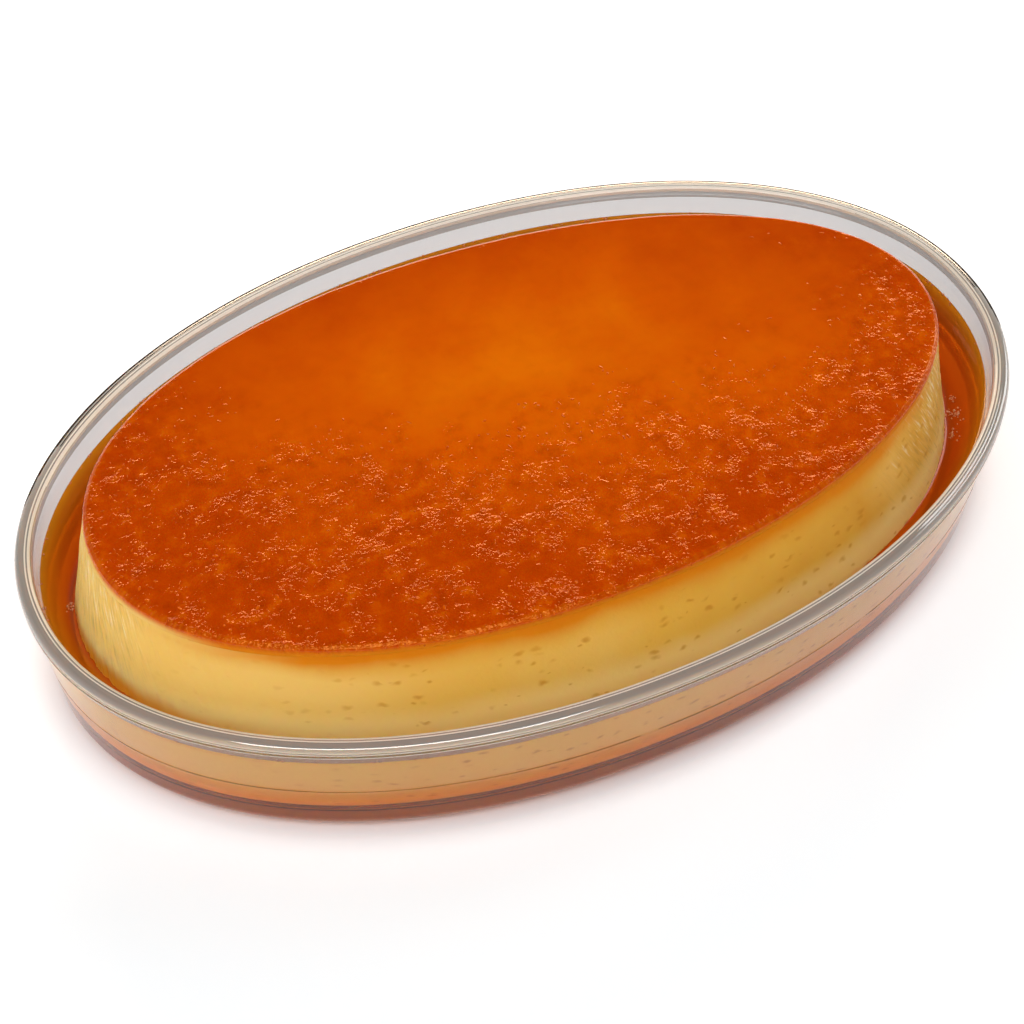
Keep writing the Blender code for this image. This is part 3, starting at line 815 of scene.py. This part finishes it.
def dress_caramel(tree, look):
    """Bright orange in the middle, partly painted light, and redder outside that, mottled with brown blots
    and light flecks that are partly painted shade and painted faint glints. The edge's slope is a little
    lighter, and the side thins out. Ribs along the edge, and grit where it is rough, catch the light."""
    where = node(tree, "ShaderNodeTexCoord").outputs["Object"]
    high = node(tree, "ShaderNodeSeparateXYZ", {0: where}).outputs["Z"]
    reach = node(tree, "ShaderNodeAttribute", attribute_name="reach").outputs["Fac"]
    rough = node(tree, "ShaderNodeAttribute", attribute_name="rough").outputs["Fac"]
    way = node(tree, "ShaderNodeAttribute", attribute_name="bearing").outputs["Vector"]
    off_bright = oval_distance(tree, where, BRIGHT_CENTRE, BRIGHT_HALF_SIZE)
    colour = node(tree, "ShaderNodeValToRGB", {0: node(tree, "ShaderNodeMapRange", {
                  "Value": off_bright, 2: 1.3})})
    colour_stops(colour, {0.0: CARAMEL_BRIGHT, 0.42: CARAMEL_ORANGE, 1.0: CARAMEL_RED})
    # Brown blots and light flecks where the surface is rough: partly the film's own uneven colour, partly
    # painted shade of its pits and painted faint glints.
    blots = node(tree, "ShaderNodeTexNoise", {"Vector": where, "Scale": BLOTS_PER_METRE,
                 "Detail": 4.0, "Roughness": 0.55})
    marked = node(tree, "ShaderNodeMath", {0: rough, 1: LEAST_ROUGH}, use_clamp=True)
    dark = node(tree, "ShaderNodeMapRange", {"Value": blots, 1: 0.48, 2: 0.7, 4: 0.45})
    light = node(tree, "ShaderNodeMapRange", {"Value": blots, 1: 0.46, 2: 0.32, 4: 0.4})
    mottled, flecked = [node(tree, "ShaderNodeMath", {0: spots, 1: marked}, operation="MULTIPLY")
                        for spots in (dark, light)]
    ribs_path = node(tree, "ShaderNodeVectorMath", {0: way, "Scale": MEAN_RADIUS / RIB_PITCH},
                     operation="SCALE")
    ribs = node(tree, "ShaderNodeTexNoise", {"Vector": ribs_path, "Scale": 1.0, "Detail": 1.0})
    ragged = node(tree, "ShaderNodeMapRange", {"Value": ribs, 1: 0.3, 2: 0.7, 3: -0.006, 4: 0.006})
    outward = node(tree, "ShaderNodeMath", {0: reach, 1: ragged})
    edged = node(tree, "ShaderNodeMapRange", {"Value": outward, 1: 0.992, 2: 1.01, 4: 0.55},
                 interpolation_type="SMOOTHSTEP")
    # Down its side the layer thins out into the custard's own soaked yellow.
    sided = node(tree, "ShaderNodeMapRange", {"Value": high, 1: FLAN_TOP - 0.8 * MM,
                 2: JOIN_HEIGHT + 0.6 * MM})
    end = node(tree, "ShaderNodeMath", {0: node(tree, "ShaderNodeSeparateXYZ", {0: way}).outputs["X"]},
               operation="ABSOLUTE")
    bare = node(tree, "ShaderNodeMapRange", {"Value": end, 1: 0.8, 2: 0.94})
    under = node(tree, "ShaderNodeMix", {"Factor": bare, 6: linear(SOAKED_TONES[1.0]),
                 7: linear(BARE_YELLOW)}, data_type="RGBA").outputs[2]
    for share, over in ((mottled, linear(CARAMEL_DARK)), (flecked, linear(CARAMEL_BRIGHT)),
                        (edged, linear(CARAMEL_EDGE)), (sided, under)):
        colour = node(tree, "ShaderNodeMix", {"Factor": share, 6: colour, 7: over},
                      data_type="RGBA").outputs[2]
    grit = node(tree, "ShaderNodeTexNoise", {"Vector": where, "Scale": GRIT_PER_METRE,
                "Detail": 1.5, "Roughness": 0.55})
    bunches = node(tree, "ShaderNodeTexNoise", {"Vector": where, "Scale": BUNCHES_PER_METRE,
                   "Detail": 1.0})
    strength = node(tree, "ShaderNodeMapRange", {"Value": bunches, 1: 0.42, 2: 0.62, 3: 0.65, 4: 1.4},
                    interpolation_type="SMOOTHSTEP")
    # The film is thinner in front, so that its grit stands out more there.
    to_back = node(tree, "ShaderNodeVectorMath", {0: where, 1: FRONT_TO_BACK}, operation="DOT_PRODUCT")
    thinner = node(tree, "ShaderNodeMapRange", {"Value": to_back.outputs["Value"], 1: -60 * MM,
                   2: 30 * MM, 3: 1.5, 4: 0.35})
    for share in (thinner, marked):
        strength = node(tree, "ShaderNodeMath", {0: strength, 1: share}, operation="MULTIPLY")
    gritty = node(tree, "ShaderNodeMath", {0: grit, 1: strength}, operation="MULTIPLY")
    at_edge = node(tree, "ShaderNodeMapRange", {"Value": reach, 1: 0.988, 4: 0.22},
                   interpolation_type="SMOOTHSTEP")
    both = node(tree, "ShaderNodeMath", {0: ribs, 1: grit})
    ribbed = node(tree, "ShaderNodeMath", {0: both, 1: at_edge}, operation="MULTIPLY")
    lift = node(tree, "ShaderNodeMath", {0: gritty, 1: ribbed})
    bump = node(tree, "ShaderNodeBump", {"Height": lift, "Strength": 1.0, "Distance": 0.17 * MM})
    dry = node(tree, "ShaderNodeMapRange", {"Value": high, 1: FLAN_TOP - 1.1 * MM,
               2: FLAN_TOP - 0.7 * MM, 3: 0.85, 4: 0.07})  # the side is dry, the top wet
    feed(tree, look, {"Base Color": colour, "Normal": bump, "Roughness": dry})


# Caramel that has soaked into custard: a wet film over an orange-brown body, which warms its glints.
soaked_caramel, caramel_tree, caramel_look = new_material("caramel_soaked_custard", {
    "IOR": 1.65, "Specular Tint": linear("FFA850"), "Subsurface Weight": 0.35,
    "Subsurface Radius": (1.0, 0.3, 0.05), "Subsurface Scale": 1 * MM})
dress_caramel(caramel_tree, caramel_look)

caramel_sizes = {"Pit Spacing": 2.1 * MM, "Pit Depth": 0.2 * MM, "Bead Pitch": 1.6 * MM,
                 "Bead Height": 0.14 * MM, "Wave": 0.4 * MM}
caramel = caramel_piece()
grow(caramel, caramel_relief_tree(caramel_sizes), caramel_sizes)
caramel.data.set_sharp_from_angle(angle=radians(60))
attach(caramel, "root")
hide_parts("caramel_top")

# ---------------------------------------------------------------------------------------------------
# Syrup blisters. Small domes of steam under the film of caramel, thick towards the flan's edge and
# gone where the surface is calm. Each is a low cap, half sunk in the top, and gives one short glint.

LOW_DOME = (1.0, 1.0, 0.21)  # how flat a blister is
DOME_SUNK = -0.13  # where its middle lies, as a share of its radius
ON_TOP, AT_EDGE = 0.985, 0.99  # reach below which blisters form, and above which edge beads do


def blister_tree(sizes):
    """Scatters low domes over the caramel where it is rough, each of its own size and turn."""
    tree, given = new_tree("caramel_blisters", sizes)
    rough = node(tree, "GeometryNodeInputNamedAttribute", {"Name": "rough"}, data_type="FLOAT")
    reach = node(tree, "GeometryNodeInputNamedAttribute", {"Name": "reach"}, data_type="FLOAT")
    on_top = node(tree, "FunctionNodeCompare", {0: reach, 1: ON_TOP}, operation="LESS_THAN")
    spread = node(tree, "GeometryNodeDistributePointsOnFaces", {"Mesh": given["Geometry"],
                  "Selection": on_top, "Distance Min": given["Least Spacing"],
                  "Density Max": given["Blisters per m2"], "Density Factor": rough, "Seed": 4},
                  distribute_method="POISSON")
    dome = node(tree, "GeometryNodeMeshUVSphere", {"Segments": 9, "Rings": 5, "Radius": given["Radius"]})
    sink = node(tree, "ShaderNodeMath", {0: given["Radius"], 1: DOME_SUNK}, operation="MULTIPLY")
    low_dome = node(tree, "GeometryNodeTransform", {"Geometry": dome, "Scale": LOW_DOME,
                    "Translation": node(tree, "ShaderNodeCombineXYZ", {2: sink})})
    round_dome = node(tree, "GeometryNodeSetShadeSmooth", {0: low_dome})
    spin = node(tree, "FunctionNodeRandomValue", {"Max": (0.0, 0.0, tau), "Seed": 5},
                data_type="FLOAT_VECTOR")
    turn = node(tree, "FunctionNodeRotateRotation", {0: spread.outputs["Rotation"],
                1: node(tree, "FunctionNodeEulerToRotation", {0: spin})}, rotation_space="LOCAL")
    size = node(tree, "FunctionNodeRandomValue", {"Min": (0.2, 0.15, 0.5), "Max": (1.15, 0.6, 1.1),
                "Seed": 6}, data_type="FLOAT_VECTOR")
    domes = node(tree, "GeometryNodeInstanceOnPoints", {"Points": spread, "Instance": round_dome,
                 "Rotation": turn, "Scale": size})
    # Along the edge they crowd together and are drawn out square to it.
    high = node(tree, "ShaderNodeSeparateXYZ", {0: node(tree, "GeometryNodeInputPosition")}).outputs["Z"]
    upper = node(tree, "FunctionNodeCompare", {0: high, 1: FLAN_TOP - 0.8 * MM}, operation="GREATER_THAN")
    outer = node(tree, "FunctionNodeCompare", {0: reach, 1: AT_EDGE}, operation="GREATER_THAN")
    edge = node(tree, "FunctionNodeBooleanMath", {0: upper, 1: outer}, operation="AND")
    row = node(tree, "GeometryNodeDistributePointsOnFaces", {"Mesh": given["Geometry"],
               "Selection": edge, "Distance Min": given["Edge Spacing"],
               "Density Max": given["Edge Beads per m2"], "Seed": 7}, distribute_method="POISSON")
    way = node(tree, "GeometryNodeInputNamedAttribute", {"Name": "bearing"}, data_type="FLOAT_VECTOR")
    out = node(tree, "ShaderNodeVectorMath", {0: way, 1: (1.0, FLAN_HALF_LENGTH / FLAN_HALF_WIDTH, 0.0)},
               operation="MULTIPLY")
    square = node(tree, "FunctionNodeAlignRotationToVector", {"Rotation": row.outputs["Rotation"],
                  "Vector": out}, axis="X", pivot_axis="Z")
    long_size = node(tree, "FunctionNodeRandomValue", {"Min": (0.25, 0.15, 0.5), "Max": (0.8, 0.35, 1.1),
                     "Seed": 8}, data_type="FLOAT_VECTOR")
    beads = node(tree, "GeometryNodeInstanceOnPoints", {"Points": row, "Instance": round_dome,
                 "Rotation": square, "Scale": long_size})
    joined = node(tree, "GeometryNodeJoinGeometry", {0: domes})
    feed(tree, joined, {0: beads})
    return end_tree(tree, joined, blistered_caramel)


TINTS_PER_METRE = 400.0  # so that a blister differs from its neighbours, 2 to 3 mm away

# The same caramel, stretched thin over steam: a clear, glossy skin of the same orange-brown.
blistered_caramel, skin_tree, skin_look = new_material("caramel_blister_skin", {
    "Roughness": 0.06, "IOR": 1.8, "Specular Tint": linear("FFB870")})
tint = node(skin_tree, "ShaderNodeTexNoise",
            {"Vector": node(skin_tree, "ShaderNodeTexCoord").outputs["Object"],
             "Scale": TINTS_PER_METRE})
skin = node(skin_tree, "ShaderNodeValToRGB", {0: tint})
colour_stops(skin, {0.35: CARAMEL_RED, 0.65: CARAMEL_ORANGE})
feed(skin_tree, skin_look, {"Base Color": skin})

blister_sizes = {"Least Spacing": 0.9 * MM, "Blisters per m2": 220000.0, "Radius": 0.85 * MM,
                 "Edge Spacing": 0.7 * MM, "Edge Beads per m2": 300000.0}
blisters = put("caramel_blisters", caramel.data.copy())
grow(blisters, blister_tree(blister_sizes), blister_sizes)
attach(blisters, "root")

# ---------------------------------------------------------------------------------------------------
# Syrup. Caramel thinned by what wept from the custard, pooled round the flan's foot. It wets both the
# glass and the custard, so its surface climbs a little at each.

# The syrup is painted amber next to the glass, as painted light coming in through the wall, and red-brown
# away from it, as painted shade; these set how far that shade reaches.
SIDE_SHADE = 0.0  # how deep the syrup looks through the wall of the dish
FULL_SHADE_REACH = 9 * MM  # from the glass, where it looks as deep as it gets
CLIMB_ON_FLAN, FLAN_FADE = 1.3 * MM, 1.1 * MM  # how high it climbs, and how fast that fades
CLIMB_ON_GLASS, GLASS_FADE = 0.4 * MM, 0.8 * MM
IN_CUSTARD = 0.6 * MM  # how far its inner face lies inside the custard
FOAM_LINE = 0.5 * MM  # how wide the line of foam along the glass is
FOAM_CLUSTERS = ((99 * MM, -34 * MM, 1.6), (101.5 * MM, -29 * MM, 1.0), (95 * MM, -40 * MM, 1.2),
                 (-114 * MM, 4 * MM, 1.1))  # x, y and reach in millimetres


def syrup_piece():
    """A ring from inside the glass, over the wetted surface, to just inside the custard."""
    columns, rows = 480, 28
    angle = np.arange(columns) * tau / columns

    def dish_points(inset, height):
        x, y = oval(np.cos(angle), np.sin(angle), DISH_SQUARENESS, DISH_HALF_LENGTH - inset,
                    DISH_HALF_WIDTH - inset)
        return np.stack([x, y, np.full_like(x, height)], axis=-1)

    bowl_top = FLOOR_THICKNESS + BOWL_RADIUS
    wall = between((inner_inset(SYRUP_LEVEL) - SUNK, SYRUP_LEVEL + CLIMB_ON_GLASS),
                   (inner_inset(bowl_top) - SUNK, bowl_top), 10)
    bowl = arc((inner_inset(bowl_top) + BOWL_RADIUS, bowl_top), BOWL_RADIUS + SUNK, 180, 270, 8)
    rings = [dish_points(inset, height) for inset, height in wall + bowl]
    foot = arc((FOOT_ROUND, FLOOR_THICKNESS + FOOT_ROUND), FOOT_ROUND - 0.5 * MM, 270, 180, 5)
    inner = foot + [(IN_CUSTARD, SYRUP_LEVEL - 2 * MM), (IN_CUSTARD, SYRUP_LEVEL + CLIMB_ON_FLAN)]
    rings += [flan_points(angle, inset, np.full_like(angle, height)) for inset, height in inner]
    under = len(rings)
    near, far = rings[-1], rings[0]
    gap = np.linalg.norm((far - near)[:, :2], axis=1)
    # depth holds each ring's share of painted shade, kept as the 'deep' attribute.
    depth = [np.full(columns, SIDE_SHADE)] * len(rings)
    foam_there = [np.zeros(columns)] * len(rings)
    wobble = 1 + 0.2 * np.sin(17 * angle + 1.1) * np.sin(5 * angle) + 0.05 * np.sin(43 * angle)
    for step in range(1, rows):
        t = 0.5 - 0.5 * cos(pi * step / rows)
        ring = near + (far - near) * t
        from_flan, from_glass = t * gap, (1 - t) * gap
        climb = (CLIMB_ON_FLAN * wobble * np.exp(-from_flan / FLAN_FADE)
                 + CLIMB_ON_GLASS * np.exp(-from_glass / GLASS_FADE))
        ring[:, 2] = SYRUP_LEVEL + climb
        rings.append(ring)
        depth.append(np.clip(from_glass / FULL_SHADE_REACH, 0, 1))
        broken = np.sin(23 * angle) + np.sin(61 * angle + 2) > 0.1
        line = np.exp(-(from_glass / FOAM_LINE) ** 2) * broken
        spots = sum(np.exp(-((ring[:, 0] - x) ** 2 + (ring[:, 1] - y) ** 2) / (wide * MM) ** 2)
                    for x, y, wide in FOAM_CLUSTERS)
        foam_there.append(np.clip(0.7 * line + spots, 0, 1))
    points = np.concatenate(rings)
    faces = ring_faces(len(rings), columns, closed=True)
    piece = new_piece("syrup_pool", points, faces)
    against_glass = np.arange(len(faces)) < (under - 1) * columns
    piece.data.polygons.foreach_set("material_index", against_glass.astype(np.int32))
    keep(piece, "deep", np.concatenate(depth))
    keep(piece, "foam", np.concatenate(foam_there))
    return piece


# Caramel syrup: clear and brown, painted amber next to the glass, as light coming in through the wall, and
# red-brown with painted shade towards the flan. Burnt sugar in it scatters light, so part of its colour
# comes from its body.
caramel_syrup, syrup_tree, syrup_look = new_material("caramel_syrup", {
    "Roughness": 0.03, "IOR": 1.44, "Transmission Weight": 0.35})
body = node(syrup_tree, "ShaderNodeValToRGB",
            {0: node(syrup_tree, "ShaderNodeAttribute", attribute_name="deep").outputs["Fac"]})
colour_stops(body, {0.0: "E6981E", 0.25: "D8760C", 0.6: "CC5A06", 1.0: "C84C04"})
feed(syrup_tree, syrup_look, {"Base Color": body})

# The syrup's face against the glass: it neither shines nor bends light of its own there, and lends
# what lies behind it an amber cast.
amber_syrup, *_ = new_material("syrup_against_glass", {
    **CLEAR, "Base Color": linear("FAEDBE"), "IOR": 1.0})

syrup = syrup_piece()
mesh = bmesh.new()
mesh.from_mesh(syrup.data)
bmesh.ops.recalc_face_normals(mesh, faces=mesh.faces)
mesh.to_mesh(syrup.data)
mesh.free()
syrup.data.shade_smooth()
syrup.data.materials.append(caramel_syrup)
syrup.data.materials.append(amber_syrup)
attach(syrup, "root")
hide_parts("syrup")

# ---------------------------------------------------------------------------------------------------
# Foam. Tiny bubbles from pouring the syrup, held in a thin, broken line where it meets the glass and
# in a few clusters against the flan's foot.

# Froth of syrup: thin walls of sugar and air, so it is paler and pinker than the syrup it floats on.
sugar_froth, *_ = new_material("syrup_froth", {
    "Base Color": linear("CC7C44"), "Roughness": 0.25, "IOR": 1.42, "Subsurface Weight": 0.4,
    "Subsurface Radius": (1.0, 0.5, 0.2), "Subsurface Scale": 0.5 * MM, "Coat Weight": 1.0,
    "Coat Roughness": 0.05})

LEAST_FOAM = 0.02


def foam_tree(sizes):
    """Scatters half-sunk bubbles over the syrup where its foam attribute says."""
    tree, given = new_tree("syrup_foam", sizes)
    thick = node(tree, "GeometryNodeInputNamedAttribute", {"Name": "foam"}, data_type="FLOAT")
    there = node(tree, "FunctionNodeCompare", {0: thick, 1: LEAST_FOAM}, operation="GREATER_THAN")
    spread = node(tree, "GeometryNodeDistributePointsOnFaces", {"Mesh": given["Geometry"],
                  "Selection": there, "Distance Min": given["Least Spacing"],
                  "Density Max": given["Bubbles per m2"], "Density Factor": thick, "Seed": 11},
                  distribute_method="POISSON")
    bubble = node(tree, "GeometryNodeMeshUVSphere", {"Segments": 8, "Rings": 5, "Radius": given["Radius"]})
    round_bubble = node(tree, "GeometryNodeSetShadeSmooth", {0: bubble})
    size = node(tree, "FunctionNodeRandomValue", {2: 0.4, 3: 1.2, "Seed": 12}, data_type="FLOAT")
    bubbles = node(tree, "GeometryNodeInstanceOnPoints", {"Points": spread, "Instance": round_bubble,
                   "Scale": size.outputs[1]})
    return end_tree(tree, bubbles, sugar_froth)


foam_sizes = {"Least Spacing": 0.36 * MM, "Bubbles per m2": 6000000.0, "Radius": 0.34 * MM}
foam = put("syrup_foam", syrup.data.copy())
grow(foam, foam_tree(foam_sizes), foam_sizes)
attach(foam, "root")

# ---------------------------------------------------------------------------------------------------
# Floor, light and camera. A plain pale floor under studio softboxes, with a dark ceiling between
# them, which keeps the caramel's colour clean and draws the glass with dark lines.

# Matt white paint that glows, a painted light that keeps the floor pale and plain; the glow fades out near
# the dish, which paints its soft contact shadow, and is stronger towards the back.
floor_paint, floor_tree, floor_look = new_material("matt_white_floor", {
    "Base Color": linear("E2E6E9"), "Emission Color": linear("FFFFFF"), "Roughness": 1.0,
    "Specular IOR Level": 0.0})
spot = node(floor_tree, "ShaderNodeVectorMath", {1: (1 / DISH_HALF_LENGTH, 1 / DISH_HALF_WIDTH, 0.0),
            0: node(floor_tree, "ShaderNodeTexCoord").outputs["Object"]}, operation="MULTIPLY")
away = node(floor_tree, "ShaderNodeVectorMath", {0: spot}, operation="LENGTH")
glow = node(floor_tree, "ShaderNodeMapRange", {"Value": away.outputs["Value"], 1: 0.92, 2: 1.05},
            interpolation_type="SMOOTHSTEP")
# Painted light: the glow grows towards the back, where it hides the dish's shadow.
backward = node(floor_tree, "ShaderNodeMapRange", {1: -0.7, 2: 0.9, 3: 0.43, 4: 0.66,
                "Value": node(floor_tree, "ShaderNodeSeparateXYZ", {0: spot}).outputs["Y"]})
lifted = node(floor_tree, "ShaderNodeMath", {0: glow, 1: backward}, operation="MULTIPLY")
feed(floor_tree, floor_look, {"Emission Strength": lifted})

FLOOR_HALF = 4.0
floor = new_piece("floor", [(-FLOOR_HALF, -FLOOR_HALF, 0), (FLOOR_HALF, -FLOOR_HALF, 0),
                            (FLOOR_HALF, FLOOR_HALF, 0), (-FLOOR_HALF, FLOOR_HALF, 0)], [(0, 1, 2, 3)])
floor.data.materials.append(floor_paint)

VIEW_AZIMUTH = radians(-26.17)
VIEW_ELEVATION = radians(50)
VIEW_DISTANCE = 0.5
VIEW_TARGET = Vector((-1.72 * MM, 7.35 * MM, 0))
SENSOR_WIDTH = 36  # millimetres
IMAGE_SIZE = 1024  # pixels
FOCAL_LENGTH = 1961.5  # pixels


def seen_from(azimuth, elevation, distance):
    """The place at a distance from the target, azimuth 0 being in front (-Y) and 90 to the right."""
    way = Vector((sin(azimuth) * cos(elevation), -cos(azimuth) * cos(elevation), sin(elevation)))
    return VIEW_TARGET + way * distance


def softbox(name, azimuth, elevation, distance, width, height, radiance, colour):
    """A softbox aimed at the flan, with its brightness given as the radiance of its face."""
    lamp = bpy.data.lights.new(name, "AREA")
    lamp.shape = "RECTANGLE"
    lamp.size, lamp.size_y = width, height
    lamp.energy = radiance * pi * width * height
    lamp.color = linear(colour)[:3]
    held = put(name, lamp)
    held.location = seen_from(radians(azimuth), radians(elevation), distance)
    held.rotation_euler = (held.location - VIEW_TARGET).to_track_quat("Z", "Y").to_euler()
    return held


# Angles in degrees, distance and size in metres, radiance and colour.
softbox("key_softbox", -25, 63, 1.15, 0.85, 0.3, 6.0, "FFFFFF")
softbox("back_softbox", 154, 30, 1.3, 1.2, 0.26, 8.0, "FFE0BC")
fill = softbox("left_softbox", -80, 27, 1.2, 0.9, 0.5, 2.4, "FFFFFF")
fill.visible_glossy = False  # it only fills, and doesn't lie as a pale sheet on the top from the right
softbox("right_strip", 100, 35, 1.2, 0.3, 0.8, 3.0, "FFFFFF")

# A white tent, bright round the horizon and dim overhead, with a dark card where the top would
# mirror it into the camera.
CARD = seen_from(radians(154), radians(50), 1.0) - VIEW_TARGET
world = bpy.data.worlds.new("studio")
world.use_nodes = True
sky = world.node_tree
sky.nodes.clear()
toward = node(sky, "ShaderNodeTexCoord").outputs["Generated"]
height = node(sky, "ShaderNodeSeparateXYZ", {0: toward}).outputs["Z"]
tent = node(sky, "ShaderNodeMapRange", {"Value": height, 1: 0.1, 2: 0.85, 3: 0.6, 4: 0.1})
near_card = node(sky, "ShaderNodeVectorMath", {0: toward, 1: CARD}, operation="DOT_PRODUCT")
off_card = node(sky, "ShaderNodeMapRange", {"Value": near_card.outputs["Value"], 1: 0.97, 2: 0.88,
                3: 0.12, 4: 1.0}, interpolation_type="SMOOTHSTEP")
lit = node(sky, "ShaderNodeMath", {0: tent, 1: off_card}, operation="MULTIPLY")
back = node(sky, "ShaderNodeBackground", {"Color": linear("FFFFFF"), "Strength": lit})
node(sky, "ShaderNodeOutputWorld", {"Surface": back})
bpy.context.scene.world = world

lens = bpy.data.cameras.new("camera")
lens.sensor_width = SENSOR_WIDTH
lens.lens = FOCAL_LENGTH * SENSOR_WIDTH / IMAGE_SIZE
lens.clip_start, lens.clip_end = 0.01, 20
camera = put("camera", lens)
camera.location = seen_from(VIEW_AZIMUTH, VIEW_ELEVATION, VIEW_DISTANCE)
camera.rotation_mode = "QUATERNION"
camera.rotation_quaternion = (camera.location - VIEW_TARGET).to_track_quat("Z", "Y")
bpy.context.scene.camera = camera
bpy.context.scene.view_settings.view_transform = "Standard"
# Light crosses several faces of glass and syrup on its way to the custard behind them.
paths = bpy.context.scene.cycles
paths.blur_glossy = 0.0
paths.max_bounces, paths.transmission_bounces = 20, 20
paths.glossy_bounces, paths.diffuse_bounces = 8, 6
